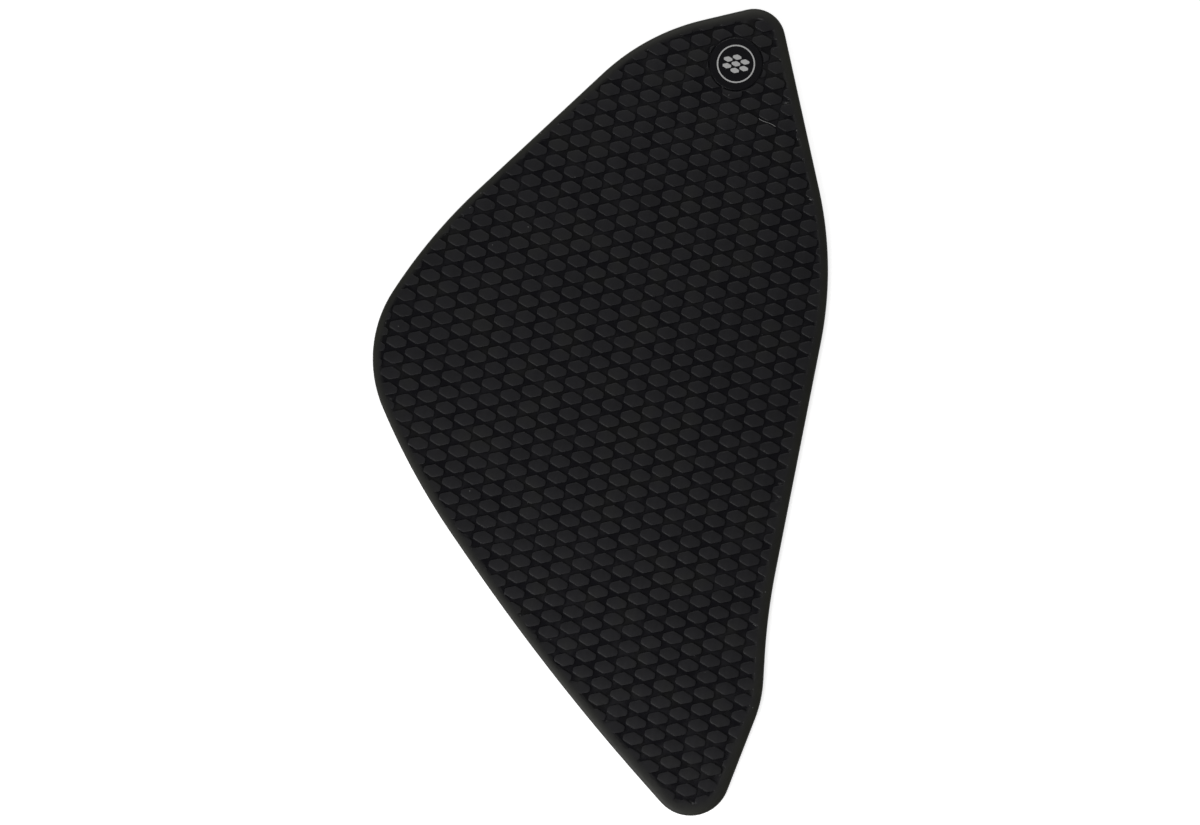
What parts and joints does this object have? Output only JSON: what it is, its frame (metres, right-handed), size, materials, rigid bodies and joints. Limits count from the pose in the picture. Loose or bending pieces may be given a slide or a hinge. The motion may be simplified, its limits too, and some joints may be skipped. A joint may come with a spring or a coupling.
{
  "type": "motorcycle tank pad",
  "caption": "Thin moulded rubber side pad for a motorcycle fuel tank, with raised hexagonal scales, a sloped border, a smooth round spot and a flat back.",
  "frame": {"origin": "on the flat back face, under the middle of the pad's outline", "axes": "+Y along the pad from its narrow tip towards the end with the round spot, +X towards its nearly straight long edge, +Z out of the textured front"},
  "size_m": [0.1503, 0.2664, 0.003],
  "materials": {
    "rubber": "matt black moulded rubber with a fine grain on the scale tops and a slight sheen in the grooves"
  },
  "bodies": {
    "root": {"tank_pad": "rubber"}
  },
  "joints": []
}
